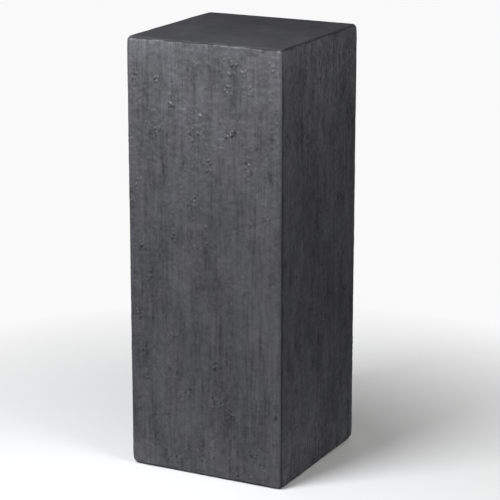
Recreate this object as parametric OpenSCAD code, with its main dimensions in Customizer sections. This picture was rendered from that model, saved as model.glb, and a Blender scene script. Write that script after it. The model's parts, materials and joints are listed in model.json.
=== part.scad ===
// Display plinth: a mitred board box with a textured coat on its five outer
// faces, a batten frame inside, a screwed base panel and four levelling feet.
// Millimetres. +Z is up, the front faces -Y, and the origin is on the floor
// under the middle of the plinth, with every foot screwed fully in.

/* [Plinth] */
// Width across the front
plinth_w = 350; // [300:10:600]
// Depth from front to back
plinth_d = 350; // [300:10:600]
// Height of the top face above the floor
plinth_h = 910; // [600:10:1200]
// Radius on the coat's outer edges
arris_r = 5; // [3:0.5:6]
// Thickness of the textured coat
coat_t = 2; // [1.5:0.5:2.5]
// Thickness of the box boards
board_t = 16; // [15:1:20]
// Radius on the boards' outer edges, where the coat is thicker
board_r = 8; // [5:0.5:9]

/* [Splines in the mitres] */
// Thickness of a spline
spline_t = 4; // [3:0.5:4]
// Width of a spline, half of it in each board
spline_w = 12; // [8:1:12]
// How far its middle lies in from the outer corner, each way
spline_in = 10; // [9.5:0.5:10.5]

/* [Inner frame] */
// Side of the square battens
batten = 30; // [26:1:36]
// Thickness of the brace at half height
brace_t = 12; // [9:1:18]
// How deep the brace is let into the boards
brace_let = 4; // [2:0.5:6]
// Diameter of the hole in the brace
brace_hole = 80; // [40:5:90]

/* [Base] */
// Thickness of the base panel
base_t = 15; // [12:1:18]
// Height of the base panel's underside above the floor
base_z = 20; // [20:1:24]
// Gap all round the base panel, so that it comes out
base_gap = 0.5; // [0.3:0.1:1]

/* [Levelling feet] */
// Height of the box's lower edge above the floor, feet in
floor_gap = 2; // [1:0.5:4]
// How far a foot's axis lies in from the outer faces
foot_inset = 65; // [65:1:90]
// Diameter of the pad
pad_d = 32; // [26:1:36]
// Diameter of the thread
stud_d = 10; // [8:2:10]
// Length of the stud above its hexagon
stud_l = 30; // [28:1:40]

/* [Wood screws] */
// Diameter of a screw
screw_d = 4; // [3.5:0.5:5]
// Length of the screws in the battens
screw_l = 40; // [36:1:40]
// Length of the screws in the base panel
base_screw_l = 35; // [30:1:40]

/* [Hidden] */
$fn = 48;
clear = 0.1;                           // round a screw in its hole
play = 0.05;                           // between parts that turn
over = 1;                              // how far a cut runs past a face
wall_t = coat_t + board_t;             // coat and board together
in_w = plinth_w - 2 * wall_t;          // inside the box, left to right
in_d = plinth_d - 2 * wall_t;          // inside the box, front to back
ceiling_z = plinth_h - wall_t;         // underside of the top board
frame_z = base_z + base_t;             // top of the base panel
brace_z = (frame_z + ceiling_z) / 2;   // middle of the brace
head_r = screw_d;                      // radius of a screw's head
head_h = screw_d / 2;                  // depth of its countersink
cross = [4.4, 0.8, 1.3];               // one arm of the cross in its head
hex_h = 6;                             // hexagon on the stud
hex_flats = 14;                        // its size across flats
hex_z = base_z - play - hex_h;         // its underside
sole_h = 1.5;                          // soft disc under a pad
sole_d = pad_d - 4;
pad_z = [sole_h, 2.5, 5, 9];           // heights of the pad's outline
pad_slope = 5;                         // how far its top slopes in
button_r = 7;                          // button of the stud, inside the pad
button_z = [3, 6];                     // its lower and upper face
neck_r = 4;                            // neck of the stud, through the pad
flange_r = 12;                         // flange of the threaded insert
flange_h = 1.5;
barrel_r = stud_d / 2 + 1.5;           // barrel of the insert
barrel_l = 12;

SIDES = ["front", "right", "back", "left"];
CORNERS = ["front_left", "front_right", "back_right", "back_left"];

// ---- Places ----

// Sides and corners count from the front round to the left. Side i is made
// facing -Y, like the front, and is then turned into its place.
module at_side(i) rotate(90 * i) children();

function across(i) = i % 2 == 0 ? plinth_w : plinth_d;       // width of side i
function reach(i) = (i % 2 == 0 ? plinth_d : plinth_w) / 2;  // centre to its face
function in_across(i) = across(i) - 2 * wall_t;
function in_reach(i) = reach(i) - wall_t;
function corner_x(c) = c == 0 || c == 3 ? -1 : 1;
function corner_y(c) = c < 2 ? -1 : 1;

module at_foot(c)
    translate([corner_x(c) * (plinth_w / 2 - foot_inset),
               corner_y(c) * (plinth_d / 2 - foot_inset), 0]) children();

// ---- Shapes that repeat ----

module round_rectangle(w, d, r) {
    square([w - 2 * r, d], center = true);
    square([w, d - 2 * r], center = true);
    for (x = [-1, 1], y = [-1, 1])
        translate([x * (w / 2 - r), y * (d / 2 - r)]) circle(r);
}

// A block with all its edges rounded to r.
module eased_block(w, d, z0, z1, r) {
    h = z1 - z0;
    translate([0, 0, (z0 + z1) / 2]) intersection() {
        linear_extrude(h, center = true) round_rectangle(w, d, r);
        rotate([90, 0, 0]) linear_extrude(d, center = true) round_rectangle(w, h, r);
        rotate([90, 0, 90]) linear_extrude(w, center = true) round_rectangle(d, h, r);
    }
}

// The plinth's outside, and the outside of its boards under the coat.
module coat_block()
    eased_block(plinth_w, plinth_d, floor_gap, plinth_h, arris_r);

module board_block()
    eased_block(plinth_w - 2 * coat_t, plinth_d - 2 * coat_t,
                floor_gap + coat_t, plinth_h - coat_t, board_r);

// The wall of side i, cut at 45 degrees along both uprights and the top.
module side_wedge(i) at_side(i) {
    half = across(i) / 2;
    y = reach(i);
    intersection() {
        linear_extrude(plinth_h)
            polygon([[-half, -y], [half, -y],
                     [half - wall_t, wall_t - y], [wall_t - half, wall_t - y]]);
        rotate([90, 0, 90]) linear_extrude(2 * half, center = true)
            polygon([[-y, 0], [wall_t - y, 0],
                     [wall_t - y, ceiling_z], [-y, plinth_h]]);
    }
}

// The wall on top, cut at 45 degrees along its four edges.
module top_wedge() {
    intersection() {
        rotate([90, 0, 90]) linear_extrude(plinth_w, center = true)
            lid_outline(plinth_d);
        rotate([90, 0, 0]) linear_extrude(plinth_d, center = true)
            lid_outline(plinth_w);
    }
}

module lid_outline(w)
    polygon([[-w / 2, plinth_h], [w / 2, plinth_h],
             [w / 2 - wall_t, ceiling_z], [wall_t - w / 2, ceiling_z]]);

// A batten along side i, between two posts, from height z up.
module side_batten(i, z)
    at_side(i) translate([0, batten / 2 - in_reach(i), z + batten / 2])
        cube([in_across(i) - 2 * batten, batten, batten], center = true);

// ---- Wood screws: head at the origin, point along +Z ----

module wood_screw(length) difference() {
    union() {
        cylinder(h = head_h, r1 = head_r, r2 = screw_d / 2);
        translate([0, 0, head_h]) cylinder(h = length - head_h - screw_d, d = screw_d);
        translate([0, 0, length - screw_d]) cylinder(h = screw_d, d1 = screw_d, d2 = 0.6);
    }
    for (turn = [0, 90]) rotate(turn)
        translate([0, 0, cross[2] / 2 - 0.01]) cube(cross, center = true);
}

module screw_hole(length) {
    translate([0, 0, -over]) cylinder(h = over + clear, r = head_r + clear);
    cylinder(h = head_h + clear, r1 = head_r + clear, r2 = screw_d / 2 + clear);
    cylinder(h = length + clear, d = screw_d + 2 * clear);
}

// ---- Where the screws go: each module repeats its children at each place ----

// Three through each post of side i into its board, a tenth of their pitch
// below or above those of the next side, so that they miss each other.
module post_screw_places(i) {
    pitch = (ceiling_z - frame_z) / 3;
    at_side(i) for (s = [-1, 1], k = [0:2])
        translate([s * (in_across(i) - batten) / 2, batten - in_reach(i),
                   frame_z + pitch * (k + 0.3 + 0.1 * (i % 2))])
            rotate([90, 0, 0]) children();
}

// Two through a batten at height z into the board behind it.
module into_side_places(i, z)
    at_side(i) for (s = [-1, 1])
        translate([s * in_across(i) / 4, batten - in_reach(i), z])
            rotate([90, 0, 0]) children();

// Three up through the top cleat of side i into the top board.
module into_top_places(i)
    at_side(i) for (s = [-1:1])
        translate([s * in_across(i) / 3, batten / 2 - in_reach(i), ceiling_z - batten])
            children();

// Two up through the base panel into the base rail of side i.
module into_rail_places(i)
    at_side(i) for (s = [-1, 1])
        translate([s * in_across(i) / 6, batten / 2 - in_reach(i), base_z]) children();

module cleat_screw_places(i) {
    into_side_places(i, ceiling_z - batten / 2) children();
    into_top_places(i) children();
}

module rail_screw_places(i)
    into_side_places(i, frame_z + batten / 2) children();

// ---- Box ----

module side_board(i) color("peru") difference() {
    intersection() {
        side_wedge(i);
        board_block();
    }
    mitre_spline(i);
    mitre_spline((i + 1) % 4);
    top_spline(i);
    mid_brace();
    post_screw_places(i) screw_hole(screw_l);
    into_side_places(i, ceiling_z - batten / 2) screw_hole(screw_l);
    rail_screw_places(i) screw_hole(screw_l);
}

module top_board() color("peru") difference() {
    intersection() {
        top_wedge();
        board_block();
    }
    for (i = [0:3]) {
        top_spline(i);
        into_top_places(i) screw_hole(screw_l);
    }
}

// The coat also turns in under the lower edge of its board.
module side_coat(i) color("dimgray") difference() {
    intersection() {
        side_wedge(i);
        coat_block();
    }
    board_block();
}

module top_coat() color("dimgray") difference() {
    intersection() {
        top_wedge();
        coat_block();
    }
    board_block();
}

module mitre_spline(c) color("burlywood")
    translate([corner_x(c) * (plinth_w / 2 - spline_in),
               corner_y(c) * (plinth_d / 2 - spline_in), base_z])
        rotate(corner_x(c) * corner_y(c) * 45)
            translate([-spline_t / 2, -spline_w / 2, 0])
                cube([spline_t, spline_w, plinth_h - base_z - 2 * wall_t]);

module top_spline(i) color("burlywood")
    at_side(i) translate([0, spline_in - reach(i), plinth_h - spline_in])
        rotate([45, 0, 0]) cube([in_across(i) - 2 * batten, spline_w, spline_t], center = true);

// ---- Inner frame ----

// The post in corner c stands between side c and the side before it.
module corner_post(c) color("wheat") difference() {
    translate([corner_x(c) * (in_w - batten) / 2,
               corner_y(c) * (in_d - batten) / 2, (frame_z + ceiling_z) / 2])
        cube([batten, batten, ceiling_z - frame_z], center = true);
    for (i = [c, (c + 3) % 4]) post_screw_places(i) screw_hole(screw_l);
}

module top_cleat(i) color("wheat") difference() {
    side_batten(i, ceiling_z - batten);
    cleat_screw_places(i) screw_hole(screw_l);
}

module base_rail(i) color("wheat") difference() {
    side_batten(i, frame_z);
    rail_screw_places(i) screw_hole(screw_l);
    into_rail_places(i) screw_hole(base_screw_l);
}

// Notched round the four posts.
module mid_brace() color("tan") translate([0, 0, brace_z]) difference() {
    cube([in_w + 2 * brace_let, in_d + 2 * brace_let, brace_t], center = true);
    for (x = [-1, 1], y = [-1, 1])
        translate([x * in_w / 2, y * in_d / 2, 0])
            cube([2 * batten, 2 * batten, brace_t + over], center = true);
    cylinder(h = brace_t + over, d = brace_hole, center = true);
}

// ---- Base ----

module base_panel() color("#2a2a2c") difference() {
    translate([0, 0, base_z + base_t / 2])
        cube([in_w - 2 * base_gap, in_d - 2 * base_gap, base_t], center = true);
    for (i = [0:3]) into_rail_places(i) screw_hole(base_screw_l);
    for (c = [0:3]) at_foot(c) translate([0, 0, base_z - over])
        cylinder(h = base_t + 2 * over, r = barrel_r + clear);
}

module foot_insert(c) color("silver") at_foot(c) difference() {
    union() {
        translate([0, 0, frame_z]) cylinder(h = flange_h, r = flange_r);
        translate([0, 0, frame_z - barrel_l]) cylinder(h = barrel_l, r = barrel_r);
    }
    translate([0, 0, frame_z - barrel_l - over])
        cylinder(h = barrel_l + flange_h + 2 * over, r = stud_d / 2 + play);
}

// Button, neck, hexagon and thread, from the pad up.
module foot_stud(c) color("silver") at_foot(c) {
    translate([0, 0, button_z[0]])
        cylinder(h = button_z[1] - button_z[0], r = button_r);
    translate([0, 0, button_z[1]]) cylinder(h = hex_z - button_z[1], r = neck_r);
    translate([0, 0, hex_z]) cylinder(h = hex_h, d = hex_flats / cos(30), $fn = 6);
    translate([0, 0, hex_z + hex_h]) cylinder(h = stud_l, d = stud_d);
}

// Snapped over the stud's button, so that the stud turns and the pad doesn't.
module foot_pad(c) color("#202022") at_foot(c) rotate_extrude()
    polygon([[0, pad_z[0]], [sole_d / 2, pad_z[0]], [pad_d / 2, pad_z[1]],
             [pad_d / 2, pad_z[2]], [pad_d / 2 - pad_slope, pad_z[3]],
             [neck_r + play, pad_z[3]], [neck_r + play, button_z[1] + play],
             [button_r + play, button_z[1] + play],
             [button_r + play, button_z[0] - play], [0, button_z[0] - play]]);

module foot_sole(c) color("#3a3a3a") at_foot(c) cylinder(h = sole_h, d = sole_d);

// ---- Screws ----

module post_screws() color("gold")
    for (i = [0:3]) post_screw_places(i) wood_screw(screw_l);

module cleat_screws() color("gold")
    for (i = [0:3]) cleat_screw_places(i) wood_screw(screw_l);

module rail_screws() color("gold")
    for (i = [0:3]) rail_screw_places(i) wood_screw(screw_l);

module base_screws() color("gold")
    for (i = [0:3]) into_rail_places(i) wood_screw(base_screw_l);

// ---- The nodes ----

for (i = [0:3]) {
    side_board(i);
    side_coat(i);
    top_spline(i);
    top_cleat(i);
    base_rail(i);
}
for (c = [0:3]) {
    mitre_spline(c);
    corner_post(c);
    foot_insert(c);
    foot_stud(c);
    foot_pad(c);
    foot_sole(c);
}
top_board();
top_coat();
mid_brace();
base_panel();
post_screws();
cleat_screws();
rail_screws();
base_screws();
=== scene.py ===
import json
import math

import bpy
import numpy as np
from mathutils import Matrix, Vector


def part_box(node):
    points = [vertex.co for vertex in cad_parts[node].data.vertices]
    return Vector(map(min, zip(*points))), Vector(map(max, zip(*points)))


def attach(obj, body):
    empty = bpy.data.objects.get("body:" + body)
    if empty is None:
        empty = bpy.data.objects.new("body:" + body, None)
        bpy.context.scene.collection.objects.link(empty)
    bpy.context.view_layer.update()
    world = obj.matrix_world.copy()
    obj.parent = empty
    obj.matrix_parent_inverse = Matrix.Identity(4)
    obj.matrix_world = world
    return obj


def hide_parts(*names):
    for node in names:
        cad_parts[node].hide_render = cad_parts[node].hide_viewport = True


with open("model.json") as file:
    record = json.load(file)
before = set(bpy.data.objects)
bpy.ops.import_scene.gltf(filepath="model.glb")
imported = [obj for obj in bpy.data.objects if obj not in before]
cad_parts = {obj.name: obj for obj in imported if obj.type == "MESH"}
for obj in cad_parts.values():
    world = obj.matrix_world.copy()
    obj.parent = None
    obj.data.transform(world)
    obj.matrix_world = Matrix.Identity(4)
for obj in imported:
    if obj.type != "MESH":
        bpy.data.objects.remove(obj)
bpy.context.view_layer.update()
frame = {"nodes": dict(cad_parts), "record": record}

# The display plinth: five coats with their brushed relief in the mesh, which
# replace the plain CAD coats, and a material for every other CAD node.
# Metres throughout, in the frame's axes: +Z up, the front faces -Y.

# ---- Objects in the scene ----

def add_object(name, data):
    made = bpy.data.objects.new(name, data)
    bpy.context.scene.collection.objects.link(made)
    return made


def point_along(thing, direction):
    """Turns a camera or light so that it looks along the direction."""
    thing.rotation_mode = "QUATERNION"
    thing.rotation_quaternion = direction.to_track_quat("-Z", "Y")


# ---- Sizes ----

ARRIS = 0.005          # radius on the coat's edges
CORNER = 0.0095        # radius at its eight corners
CORNER_REACH = 0.013   # how far a corner's softness runs along the edges
BOARD_ARRIS = 0.008    # radius on the boards' edges, under the coat
GRID_ACROSS = 0.0017   # spacing of the coat mesh from left to right
GRID_UP = 0.0021       # and from bottom to top
GRID_EDGE = 0.0010     # and close to the edges
EDGE_BAND = 0.007      # how wide that finer band is
FADE_BAND = 0.012      # how far from the edges the relief gets weaker
EDGE_RELIEF = 0.35     # share of the relief that is left on the edges
LIP_ROWS = 12          # rows of the mesh over a side coat's lower lip
RELIEF_UNIT = 0.0006   # height that the materials read as 1
FULL_SHADE_CREASE = 0.0006   # depth of a crease that is painted in full shade

coat_boxes = [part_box(n) for n in frame["nodes"] if n.endswith("_coat")]
LOW = np.min([np.array(b[0]) for b in coat_boxes], axis=0)
HIGH = np.max([np.array(b[1]) for b in coat_boxes], axis=0)
MIDDLE = (LOW + HIGH) / 2
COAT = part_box("front_board")[0][1] - LOW[1]        # thickness of the coat
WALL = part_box("front_base_rail")[0][1] - LOW[1]    # and of the coat and board together


# ---- Smooth noise on a grid of columns u and rows v ----

def smooth(part):
    """Eases a share from 0 to 1, level at both ends."""
    return part * part * (3 - 2 * part)


def weights(line, cell, start):
    """How much each of a row of knots, one every cell, counts at each point of line."""
    place = (line - line[0]) / cell + start
    knot = np.floor(place).astype(int)
    part = smooth(place - knot)
    table = np.zeros((len(line), knot.max() + 2))
    rows = np.arange(len(line))
    table[rows, knot] = 1 - part
    table[rows, knot + 1] = part
    return table


def wander(rng, line, cell):
    """Smooth noise from -1 to 1 along one line."""
    table = weights(line, cell, rng.random())
    return table @ rng.uniform(-1, 1, table.shape[1])


def clouds(rng, u, v, wide, tall):
    """Soft lumps from -1 to 1, wide across and tall upwards."""
    along_u = weights(u, wide, rng.random())
    along_v = weights(v, tall, rng.random())
    knots = rng.uniform(-1, 1, (along_v.shape[1], along_u.shape[1]))
    return along_v @ knots @ along_u.T


def strokes(rng, u, v, wide, tall):
    """Upright strokes from -1 to 1, each starting at a height of its own."""
    along_u = weights(u, wide, rng.random())
    count = along_u.shape[1]
    place = (v - v[0])[:, None] / tall + rng.uniform(0, 9, count)
    knot = np.floor(place).astype(int)
    part = smooth(place - knot)
    table = rng.uniform(-1, 1, (knot.max() + 2, count))
    column = np.arange(count)
    return ((1 - part) * table[knot, column] + part * table[knot + 1, column]) @ along_u.T


def step(values, low, high):
    """0 below low, 1 above high, smooth between them."""
    return smooth(np.clip((values - low) / (high - low), 0, 1))


# ---- Relief of the coat ----

def stamp(relief, u, v, place, size, height):
    """Adds one soft lump to the relief, or a pit where height is below 0.

    size is its reach across and upwards."""
    cols = slice(*np.searchsorted(u, [place[0] - 3 * size[0], place[0] + 3 * size[0]]))
    rows = slice(*np.searchsorted(v, [place[1] - 3 * size[1], place[1] + 3 * size[1]]))
    across = ((u[cols] - place[0]) / size[0]) ** 2
    upward = ((v[rows] - place[1]) / size[1]) ** 2
    relief[rows, cols] += height * np.exp(-across[None, :] - upward[:, None])


def add_blobs(rng, relief, tone_and_painted_light, u, v, clusters):
    """Clusters of small lumps and pits, as from grit and bubbles under the brush.

    Lumps are painted paler and pits darker by their height, as painted highlight and shade, and
    each lump gets a painted shadow below it."""
    painted_light_per_metre = 850
    # size and offset of the painted shadow below each lump
    shadow_patch = [0.0018, 0.0014]
    below = [0, -0.0035]
    for _ in range(clusters):
        centre = rng.uniform([u[0], v[0]], [u[-1], v[-1]])
        spread = rng.uniform([0.003, 0.004], [0.006, 0.011])
        for _ in range(rng.integers(2, 14)):
            place = rng.normal(centre, spread)
            size = rng.uniform(0.0011, 0.0018, 2)
            height = rng.choice([1, 1, -0.8]) * rng.uniform(0.0008, 0.0022)
            stamp(relief, u, v, place, size, height)
            # painted highlight on the lumps and painted shade in the pits, by their height
            stamp(tone_and_painted_light, u, v, place, size, painted_light_per_metre * height)
            # painted shadow below each lump
            stamp(tone_and_painted_light, u, v, place + below, shadow_patch, -rng.uniform(0.8, 2.4))


def add_scratches(rng, relief, u, v, groups):
    """Groups of long thin grooves left by the brush."""
    gap = 0.0042
    for _ in range(groups):
        centre = rng.uniform([u[0], v[0]], [u[-1], v[-1]])
        for k in range(rng.integers(1, 7)):
            place = centre + [gap * k, rng.normal(0, 0.006)]
            size = [0.0011, rng.uniform(0.010, 0.030)]
            stamp(relief, u, v, place, size, -rng.uniform(0.0001, 0.0004))


def add_chatter(rng, relief, u, v, patches):
    """Short level ripples beside the upright edges, where the brush was lifted off."""
    inset = 0.012
    gap = 0.0055
    for _ in range(patches):
        edge = rng.choice([u[0] + inset, u[-1] - inset])
        foot = rng.uniform(v[0], v[-1])
        for k in range(rng.integers(3, 8)):
            place = [edge + rng.normal(0, 0.003), foot + gap * k]
            stamp(relief, u, v, place, [0.005, 0.0013], rng.uniform(0.0003, 0.0007))


def brushed_coat(rng, u, v):
    """Height in metres and tone, dark below 0 and pale above, of a side's brushed coat; the tone
    includes painted shade and highlight.
    """
    combed = step(clouds(rng, u, v, 0.024, 0.070), -0.5, 0.5)
    rough = step(clouds(rng, u, v, 0.030, 0.045), -0.3, 0.8)
    relief = 0.00045 * clouds(rng, u, v, 0.060, 0.110)
    relief += 0.00036 * clouds(rng, u, v, 0.017, 0.024)
    relief += 0.00032 * clouds(rng, u, v, 0.0085, 0.0075)
    relief += (0.00014 + 0.00030 * rough) * clouds(rng, u, v, 0.0042, 0.0036)
    relief += 0.00015 * strokes(rng, u, v, 0.0065, 0.070)
    relief += 0.00018 * combed * strokes(rng, u, v, 0.0026, 0.050)

    tone_and_painted_light = 0.36 * clouds(rng, u, v, 0.060, 0.120)
    tone_and_painted_light += 0.30 * strokes(rng, u, v, 0.026, 0.200)
    tone_and_painted_light += 0.30 * strokes(rng, u, v, 0.013, 0.130)
    tone_and_painted_light += 0.40 * strokes(rng, u, v, 0.0065, 0.080)
    tone_and_painted_light += (0.2 + 1.0 * combed) * strokes(rng, u, v, 0.0027, 0.060)
    tone_and_painted_light += 0.20 * clouds(rng, u, v, 0.015, 0.024)
    tone_and_painted_light += 0.45 * clouds(rng, u, v, 0.0080, 0.0075)
    tone_and_painted_light += 0.70 * clouds(rng, u, v, 0.0042, 0.0036)
    tone_and_painted_light += 0.5 * step(v, v[-1] - 0.055, v[-1])[:, None]      # painted sheen: paler along the top

    scratches = np.zeros_like(relief)
    add_scratches(rng, scratches, u, v, 90)
    relief += scratches
    # painted shade: each scratch is darker in tone by its depth
    tone_and_painted_light += scratches / 0.0003
    add_chatter(rng, relief, u, v, 16)
    add_blobs(rng, relief, tone_and_painted_light, u, v, 80)
    return relief, tone_and_painted_light


def trowelled_coat(rng, u, v):
    """Height and tone of the top's coat, which is almost smooth."""
    relief = 0.00055 * clouds(rng, u, v, 0.080, 0.075)
    relief += 0.00024 * clouds(rng, u, v, 0.024, 0.026)
    relief += 0.00010 * clouds(rng, u, v, 0.0080, 0.0090)
    tone_and_painted_light = 0.9 * clouds(rng, u, v, 0.090, 0.110)
    tone_and_painted_light += 0.8 * clouds(rng, u, v, 0.030, 0.045)
    tone_and_painted_light += 0.6 * clouds(rng, u, v, 0.012, 0.016)
    tone_and_painted_light += 0.4 * clouds(rng, u, v, 0.005, 0.006)
    # the blobs add their painted highlight and shadow to the tone
    add_blobs(rng, relief, tone_and_painted_light, u, v, 3)
    return relief, tone_and_painted_light


# ---- Mesh of the coat ----

def grid_line(low, high, spacing):
    """Places from low to high, closer together over the two rounded edges."""
    fine = round(EDGE_BAND / GRID_EDGE)
    plain = round((high - low - 2 * EDGE_BAND) / spacing)
    first = np.linspace(low, low + EDGE_BAND, fine, endpoint=False)
    between = np.linspace(low + EDGE_BAND, high - EDGE_BAND, plain, endpoint=False)
    last = np.linspace(high - EDGE_BAND, high, fine + 1)
    return np.concatenate([first, between, last])


def ease(points, low, high, radius):
    """Points on a box moved onto the same box with rounded edges, and their normals."""
    core = np.clip(points, low + radius, high - radius)
    normals = points - core
    normals /= np.linalg.norm(normals, axis=-1, keepdims=True)
    return core + radius * normals, normals


def nearness(points):
    """1 at the plinth's eight corners, falling to 0 away from them."""
    gaps = np.minimum(points - LOW, HIGH - points)
    return np.exp(-((np.linalg.norm(gaps, axis=-1) / CORNER_REACH) ** 2))


class Face:
    """One side of the box, seen from outside: across to the right, up, and its normal."""

    def __init__(self, across, up):
        self.across = np.array(across, float)
        self.up = np.array(up, float)
        self.normal = np.cross(self.across, self.up)
        half = (HIGH - LOW) / 2
        self.half_across = abs(self.across @ half)
        self.half_up = abs(self.up @ half)
        self.centre = MIDDLE + self.normal * abs(self.normal @ half)

    def points(self, across, depth, up):
        """Places on the box, from how far right of the middle, inwards and up they are."""
        return (self.centre + across[..., None] * self.across
                - depth[..., None] * self.normal + up[..., None] * self.up)


def flat_grid(face, share, rows):
    """Places on a sharp-edged side, where share runs from -1 to 1 across it.

    rows are pairs of how far in and how far up each row is."""
    depth = np.array([r[0] for r in rows])[:, None] + 0 * share
    up = np.array([r[1] for r in rows])[:, None] + 0 * share
    return face.points(share * (face.half_across - depth), depth, up)


def quads(first, rows, cols, flip=False):
    """Faces of a grid of rows by cols vertices, the first of which has that index."""
    corner = first + np.arange(rows - 1)[:, None] * cols + np.arange(cols - 1)
    corner = corner.ravel()
    loop = [corner, corner + 1, corner + 1 + cols, corner + cols]
    return np.stack(loop[::-1] if flip else loop, axis=1).tolist()


def closed_mesh(name, outer, inner):
    """A closed shell between two grids that have the same number of columns."""
    cols = outer.shape[1]
    last = cols - 1
    below = outer.shape[0] * cols                      # index of the first inner vertex
    top = (outer.shape[0] - 1) * cols                  # first vertex of the outer top row
    inner_top = below + (inner.shape[0] - 1) * cols
    faces = quads(0, outer.shape[0], cols)
    faces += quads(below, inner.shape[0], cols, flip=True)
    for c in range(last):
        faces.append([c + 1, c, below + c, below + c + 1])
        faces.append([top + c, top + c + 1, inner_top + c + 1, inner_top + c])
    left = [r * cols for r in range(outer.shape[0])]
    inner_left = [below + r * cols for r in range(inner.shape[0])]
    faces.append(left + inner_left[::-1])
    faces.append([i + last for i in left[::-1]] + [i + last for i in inner_left])
    mesh = bpy.data.meshes.new(name)
    mesh.from_pydata(np.concatenate([outer.reshape(-1, 3), inner.reshape(-1, 3)]), [], faces)
    return mesh


def relief_share(u, v):
    """How much of the relief there is: all of it in the face's middle, less at the edges."""
    from_side = np.minimum(u - u[0], u[-1] - u)
    from_end = np.minimum(v - v[0], v[-1] - v)
    inside = step(np.minimum(from_side[None, :], from_end[:, None]), 0, FADE_BAND)
    return EDGE_RELIEF + (1 - EDGE_RELIEF) * inside


def edge_grooves(rng, u, v, depths):
    """Depth of the ragged creases along the left, right, lower and upper edge."""
    left, right, lower, upper = depths
    groove = np.zeros((len(v), len(u)))
    for depth, gap, line in ((left, u - u[0], v), (right, u[-1] - u, v),
                             (lower, v - v[0], u), (upper, v[-1] - v, u)):
        ragged = 0.8 + 0.45 * wander(rng, line, 0.035) + 0.25 * wander(rng, line, 0.010)
        ragged = depth * np.clip(ragged, 0.4, 1.5)
        width = (0.0022 + 2.6 * depth) * (1 + 0.35 * wander(rng, line, 0.020))
        crease = ragged[:, None] * np.exp(-((gap[None, :] / width[:, None]) ** 2))
        groove += crease if line is v else crease.T
    return groove


def coat_fields(rng, u, v, is_side, lip_rows, near, creases):
    """Height, tone and painted crease shade of every vertex of a coat's outer grid.

    The first lip_rows rows are a side coat's lower lip, and near is 1 at the corners."""
    relief, tone_and_painted_light = brushed_coat(rng, u, v) if is_side else trowelled_coat(rng, u, v)
    groove = edge_grooves(rng, u, v, creases)
    height, shade, dark = np.zeros((3, *near.shape))
    height[lip_rows:] = relief * relief_share(u, v) - groove
    shade[lip_rows:] = tone_and_painted_light
    # painted shade: the deeper a crease, the darker it is painted
    dark[lip_rows:] = np.clip(groove / FULL_SHADE_CREASE, 0, 1)
    if is_side:
        height[:lip_rows] = height[lip_rows] * np.linspace(0, 1, lip_rows)[:, None]
        dark[:lip_rows] = 0.8     # painted shade on the lower lip, nearly as dark as a crease
    height *= 1 - 0.8 * near      # the coat is thin there
    return height, shade, dark


def make_coat(side, face, seed, creases):
    """Builds one coat, rides it on the plinth and lets it stand for its CAD node.

    creases are the depths of the grooves along its left, right, lower and upper edge."""
    rng = np.random.default_rng(seed)
    is_side = side != "top"
    u = grid_line(-face.half_across, face.half_across, GRID_ACROSS)
    v = grid_line(-face.half_up, face.half_up, GRID_UP)
    share = u / face.half_across
    lip = [(depth, v[0]) for depth in np.linspace(WALL, 0, LIP_ROWS + 1)[:-1]] if is_side else []
    flat = flat_grid(face, share, lip + [(0, up) for up in v])
    near = nearness(flat)
    outer, normals = ease(flat, LOW, HIGH, ARRIS + (CORNER - ARRIS) * near[..., None])
    height, shade, dark = coat_fields(rng, u, v, is_side, len(lip), near, creases)
    outer = outer + height[..., None] * normals

    low, high = -face.half_up + COAT, face.half_up - COAT
    inner_rows = [(COAT, up) for up in (low, low + BOARD_ARRIS, high - BOARD_ARRIS, high)]
    if is_side:
        inner_rows = [(WALL, low), (COAT + BOARD_ARRIS, low)] + inner_rows
    inner = ease(flat_grid(face, share, inner_rows), LOW + COAT, HIGH - COAT, BOARD_ARRIS)[0]

    name = side + "_coat"
    mesh = closed_mesh(name + "_relief", outer, inner)
    blank = np.zeros(inner.shape[0] * inner.shape[1])
    # tone holds the coat's own tone with painted highlight and shadow; crease holds painted shade
    for label, values in (("relief", height / RELIEF_UNIT), ("tone_and_painted_light", shade), ("crease", dark)):
        layer = mesh.attributes.new(label, "FLOAT", "POINT")
        layer.data.foreach_set("value", np.concatenate([values.ravel(), blank]))
    mesh.shade_smooth()
    mesh.set_sharp_from_angle(angle=math.radians(60))
    mesh.materials.append(MATERIALS["side_coat" if is_side else "top_coat"])
    piece = add_object(name + "_relief", mesh)
    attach(piece, "plinth")
    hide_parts(name)


# ---- Materials ----

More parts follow.
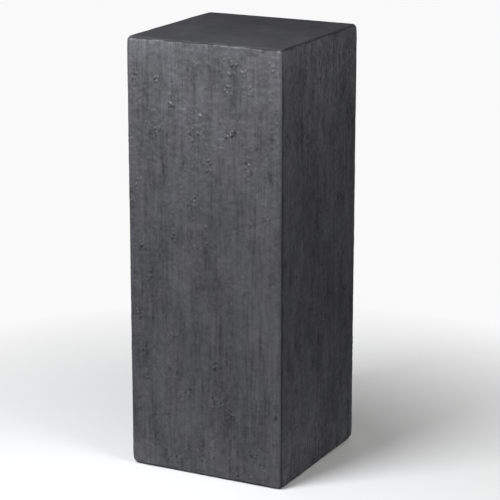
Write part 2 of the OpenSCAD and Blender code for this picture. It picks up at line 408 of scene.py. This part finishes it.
class Shader:
    """A Principled material under construction, with short calls for its nodes."""

    def __init__(self, name):
        self.material = bpy.data.materials.new(name)
        self.material.use_nodes = True
        self.tree = self.material.node_tree
        self.surface = self.tree.nodes["Principled BSDF"]

    def node(self, kind, **inputs):
        made = self.tree.nodes.new(kind)
        for key, value in inputs.items():
            self.put(made.inputs[key.replace("_", " ")], value)
        return made

    def put(self, socket, value):
        """Sets a socket, or joins another node's output to it."""
        if isinstance(value, bpy.types.NodeSocket):
            self.tree.links.new(value, socket)
        else:
            socket.default_value = value

    def noise(self, scale, detail=2.0, roughness=0.5):
        """Noise in the frame's axes; scale is its lumps per metre along X, Y and Z."""
        place = self.node("ShaderNodeTexCoord").outputs["Object"]
        mapping = self.node("ShaderNodeMapping", Vector=place, Scale=scale)
        made = self.node("ShaderNodeTexNoise", Vector=mapping.outputs[0], Scale=1.0,
                         Detail=detail, Roughness=roughness)
        return made.outputs["Fac"]

    def range(self, value, low, high, to_low=0.0, to_high=1.0):
        made = self.node("ShaderNodeMapRange", Value=value, From_Min=low, From_Max=high,
                         To_Min=to_low, To_Max=to_high)
        return made.outputs[0]

    def maths(self, operation, first, second):
        made = self.tree.nodes.new("ShaderNodeMath")
        made.operation = operation
        self.put(made.inputs[0], first)
        self.put(made.inputs[1], second)
        return made.outputs[0]

    def mix(self, factor, first, second, blend="MIX"):
        made = self.tree.nodes.new("ShaderNodeMix")
        made.data_type = "RGBA"
        made.blend_type = blend
        self.put(made.inputs[0], factor)
        self.put(made.inputs[6], first)
        self.put(made.inputs[7], second)
        return made.outputs[2]

    def attribute(self, name):
        made = self.tree.nodes.new("ShaderNodeAttribute")
        made.attribute_name = name
        return made.outputs["Fac"]

    def bump(self, height, distance):
        made = self.node("ShaderNodeBump", Height=height, Distance=distance, Strength=1.0)
        self.put(self.surface.inputs["Normal"], made.outputs[0])

    def finish(self, **inputs):
        for key, value in inputs.items():
            self.put(self.surface.inputs[key.replace("_", " ")], value)
        return self.material


def grey(value, warm=0.0):
    """An almost neutral colour; warm above 0 adds red, below 0 adds blue."""
    return (value * (1 + warm), value, value * (1 - warm), 1)


def mineral_coat(name, streak, contrast):
    """Charcoal mineral coat, which reads the relief, tone and crease of its mesh, and paints
    highlight and shade from them.

    streak is how much longer its marks are upwards than across."""
    s = Shader(name)
    narrow = s.noise((300, 300, 300 / streak), 3, 0.6)
    grain = s.noise((700, 700, 700 / min(streak, 2)), 2, 0.6)
    tint = s.noise((16, 16, 9), 2)
    relief = s.attribute("relief")
    crease = s.attribute("crease")

    tone_and_painted_light = s.maths("MULTIPLY", s.attribute("tone_and_painted_light"), contrast)
    tone_and_painted_light = s.maths("ADD", tone_and_painted_light, s.range(narrow, 0.3, 0.7, -0.5 * contrast, 0.5 * contrast))
    tone_and_painted_light = s.maths("ADD", tone_and_painted_light, s.range(grain, 0.3, 0.7, -0.7 * contrast, 0.7 * contrast))
    # painted highlight and shade: paler where the relief stands up, darker where it is low
    tone_and_painted_light = s.maths("ADD", tone_and_painted_light, s.range(relief, -1, 1, -0.8 * contrast, 0.8 * contrast))
    tone_and_painted_light = s.range(tone_and_painted_light, -1, 1, 0, 2)
    green_black = (0.0442, 0.0456, 0.0502, 1)
    violet_black = (0.0466, 0.0452, 0.0516, 1)
    cool = s.mix(s.range(tint, 0.4, 0.6), green_black, violet_black)
    level = s.node("ShaderNodeCombineColor", Red=tone_and_painted_light, Green=tone_and_painted_light, Blue=tone_and_painted_light).outputs[0]
    shade = s.mix(1.0, cool, level, "MULTIPLY")
    # painted shade in the creases and on the lower lip, darkened towards near black
    crease_shade_black = grey(0.012, -0.05)
    colour = s.mix(s.range(crease, 0.1, 1, 0, 0.75), shade, crease_shade_black)

    s.bump(s.maths("ADD", narrow, s.maths("MULTIPLY", grain, 0.7)), 0.0006)
    rough = s.range(tone_and_painted_light, 0.4, 1.6, 0.70, 0.42)
    rough = s.maths("MAXIMUM", rough, s.range(crease, 0.1, 0.6, 0, 0.9))
    return s.finish(Base_Color=colour, Roughness=rough)


def fibre_board(name, colour, dark):
    """Pressed fibre board: fine specks in a flat field."""
    s = Shader(name)
    speck = s.noise((700, 700, 700), 3, 0.7)
    cloud = s.noise((25, 25, 25), 3)
    base = s.mix(s.range(speck, 0.35, 0.65), dark, colour)
    base = s.mix(s.range(cloud, 0.3, 0.7, 0, 0.3), base, dark)
    s.bump(speck, 0.0002)
    return s.finish(Base_Color=base, Roughness=s.range(speck, 0.3, 0.7, 0.7, 0.9))


def timber(name, scale, pale, dark):
    """Planed timber or plywood: long grain, stretched by the scale, with fine pores."""
    s = Shader(name)
    rings = s.noise(scale, 4, 0.6)
    pores = s.noise(tuple(12 * k for k in scale), 2)
    base = s.mix(s.range(rings, 0.35, 0.65), dark, pale)
    base = s.mix(s.range(pores, 0.55, 0.75, 0, 0.5), base, dark)
    s.bump(pores, 0.0002)
    return s.finish(Base_Color=base, Roughness=s.range(rings, 0.3, 0.7, 0.5, 0.75))


def plated_steel(name, colour, tinge):
    """Zinc-plated steel with a clouded colour and fine turning marks."""
    s = Shader(name)
    cloud = s.noise((160, 160, 160), 3)
    marks = s.noise((300, 300, 4000), 2)
    base = s.mix(s.range(cloud, 0.35, 0.65), colour, tinge)
    s.bump(marks, 0.00005)
    return s.finish(Base_Color=base, Metallic=1.0, Roughness=s.range(cloud, 0.3, 0.7, 0.28, 0.45))


def moulded(name, colour, rough):
    """Moulded plastic or rubber with a fine spark-eroded grain."""
    s = Shader(name)
    grain = s.noise((1500, 1500, 1500), 2)
    scuff = s.noise((90, 90, 30), 4, 0.7)
    base = s.mix(s.range(scuff, 0.5, 0.75, 0, 0.35), colour, grey(0.11))
    s.bump(grain, 0.0001)
    return s.finish(Base_Color=base, Roughness=s.range(scuff, 0.3, 0.7, rough, rough + 0.2))


PINE = (0.66, 0.47, 0.26, 1)
DARK_PINE = (0.46, 0.26, 0.11, 1)
MATERIALS = {
    "side_coat": mineral_coat("side_coat", 9, 0.28),
    "top_coat": mineral_coat("top_coat", 1, 0.15),
    "mdf": fibre_board("mdf", (0.42, 0.29, 0.18, 1), (0.28, 0.18, 0.10, 1)),
    "sealed_mdf": fibre_board("sealed_mdf", (0.030, 0.030, 0.033, 1), (0.014, 0.014, 0.016, 1)),
    "birch_ply": timber("birch_ply", (12, 90, 500), (0.62, 0.46, 0.28, 1), (0.44, 0.29, 0.15, 1)),
    "softwood_upright": timber("softwood_upright", (120, 120, 5), PINE, DARK_PINE),
    "softwood_across": timber("softwood_across", (5, 120, 120), PINE, DARK_PINE),
    "softwood_deep": timber("softwood_deep", (120, 5, 120), PINE, DARK_PINE),
    "yellow_zinc": plated_steel("yellow_zinc", (0.62, 0.47, 0.20, 1), (0.60, 0.36, 0.26, 1)),
    "zinc_steel": plated_steel("zinc_steel", (0.60, 0.61, 0.63, 1), (0.50, 0.52, 0.56, 1)),
    "nylon": moulded("nylon", (0.020, 0.020, 0.022, 1), 0.45),
    "sole_rubber": moulded("sole_rubber", (0.040, 0.040, 0.040, 1), 0.75),
}


def material_of(node, slot):
    """The material of a CAD node: its slot's, with softwood grain along the batten."""
    if slot == "mineral_coat":
        return MATERIALS["side_coat"]
    if slot != "softwood":
        return MATERIALS[slot]
    if node.endswith("_post"):
        return MATERIALS["softwood_upright"]
    if node.startswith(("front", "back")):
        return MATERIALS["softwood_across"]
    return MATERIALS["softwood_deep"]


def dress_cad_nodes():
    """Gives every CAD node its material."""
    slots = {s["node"]: s["material_slot"] for s in frame["record"]["subparts"]}
    for name, piece in frame["nodes"].items():
        piece.data.materials.clear()
        piece.data.materials.append(material_of(name, slots[name]))


# ---- The plinth ----

# Depths of the creases along each face's left, right, lower and upper edge; the deeper a crease,
# the darker its painted shade.
SIDE_CREASES = {
    "front": (0.0001, 0.0001, 0.0006, 0.0008),
    "right": (0.0011, 0.0004, 0.0009, 0.0009),
    "back": (0.0004, 0.0004, 0.0008, 0.0008),
    "left": (0.0004, 0.0005, 0.0008, 0.0008),
}
TOP_CREASES = (0.0006, 0.0006, 0.0006, 0.0003)

dress_cad_nodes()
for number, (side, creases) in enumerate(SIDE_CREASES.items()):
    turn = math.radians(90 * number)
    side_face = Face((round(math.cos(turn)), round(math.sin(turn)), 0), (0, 0, 1))
    make_coat(side, side_face, 20 + number, creases)
make_coat("top", Face((1, 0, 0), (0, 1, 0)), 30, TOP_CREASES)


# ---- Camera ----

AZIMUTH = math.radians(27.16)
ELEVATION = math.radians(15.36)
DISTANCE = 4.432       # from the middle of the plinth
ASIDE = 0.01256        # how far right of the middle the camera aims
BELOW = 0.00965        # and how far below it
LENS = 152.6           # in millimetres, on a 36 mm sensor


def make_camera():
    back = Vector((math.sin(AZIMUTH) * math.cos(ELEVATION),
                   -math.cos(AZIMUTH) * math.cos(ELEVATION), math.sin(ELEVATION)))
    right = Vector((math.cos(AZIMUTH), math.sin(AZIMUTH), 0))
    camera = add_object("camera", bpy.data.cameras.new("camera"))
    camera.data.sensor_width = 36
    camera.data.lens = LENS
    camera.data.clip_end = 50
    camera.location = (Vector((0, 0, HIGH[2] / 2)) + back * DISTANCE
                       + right * ASIDE - back.cross(right) * BELOW)
    point_along(camera, -back)
    bpy.context.scene.camera = camera


make_camera()


# ---- Floor and light ----

FLOOR_SOLID = 0.3      # radius of the floor that is fully there
FLOOR_END = 1.1        # and where it has faded into the backdrop


def make_floor():
    """A pale floor that fades into the backdrop, and is seen through from below.

    It is open under the plinth, so that light reaches the feet there."""
    hole = HIGH[0] - WALL
    corners = [(x * reach, y * reach, 0) for reach in (FLOOR_END, hole)
               for x, y in ((-1, -1), (1, -1), (1, 1), (-1, 1))]
    sides = [(i, (i + 1) % 4, 4 + (i + 1) % 4, 4 + i) for i in range(4)]
    mesh = bpy.data.meshes.new("floor")
    mesh.from_pydata(corners, [], sides)
    floor = add_object("floor", mesh)
    s = Shader("floor")
    place = s.node("ShaderNodeTexCoord").outputs["Object"]
    distance = s.tree.nodes.new("ShaderNodeVectorMath")
    distance.operation = "LENGTH"
    s.put(distance.inputs[0], place)
    there = s.range(distance.outputs["Value"], FLOOR_SOLID, FLOOR_END, 1, 0)
    above = s.maths("SUBTRACT", 1.0, s.node("ShaderNodeNewGeometry").outputs["Backfacing"])
    mesh.materials.append(s.finish(Base_Color=(0.84, 0.84, 0.84, 1), Roughness=0.9,
                                   Alpha=s.maths("MULTIPLY", there, above)))


def make_light(name, place, aim, size, power, colour=(1, 1, 1)):
    """A rectangular light that the camera doesn't see; size in metres, power in watts."""
    lamp = bpy.data.lights.new(name, "AREA")
    lamp.shape = "RECTANGLE"
    lamp.size, lamp.size_y = size
    lamp.energy = power
    lamp.color = colour
    light = add_object(name, lamp)
    light.location = place
    point_along(light, Vector(aim) - Vector(place))
    light.visible_camera = False


def make_backdrop(seen, light):
    """A plain world that looks seen and lights the plinth with light."""
    world = bpy.data.worlds.new("studio")
    world.use_nodes = True
    nodes = world.node_tree.nodes
    links = world.node_tree.links
    dim = nodes["Background"]
    dim.inputs[0].default_value = (*light, 1)
    bright = nodes.new("ShaderNodeBackground")
    bright.inputs[0].default_value = (*seen, 1)
    choose = nodes.new("ShaderNodeMixShader")
    links.new(nodes.new("ShaderNodeLightPath").outputs["Is Camera Ray"], choose.inputs[0])
    links.new(dim.outputs[0], choose.inputs[1])
    links.new(bright.outputs[0], choose.inputs[2])
    links.new(choose.outputs[0], nodes["World Output"].inputs[0])
    bpy.context.scene.world = world


make_floor()
make_light("key", (-0.45, -1.2, 1.5), (0, 0, 0.6), (0.8, 0.8), 42, (0.955, 0.970, 1.0))
make_light("side_fill", (1.1, -0.4, 1.3), (0, 0, 0.9), (0.6, 0.6), 9.5, (1.0, 0.99, 0.97))
make_light("back_fill", (-0.4, 1.9, 0.55), (0, 0, 0.45), (1.6, 0.5), 8)
make_light("under_fill", (0, 0, -0.3), (0, 0, 0), (0.3, 0.3), 3)
make_backdrop((0.95, 0.95, 0.95), (0.105, 0.105, 0.107))
bpy.context.scene.view_settings.view_transform = "Standard"
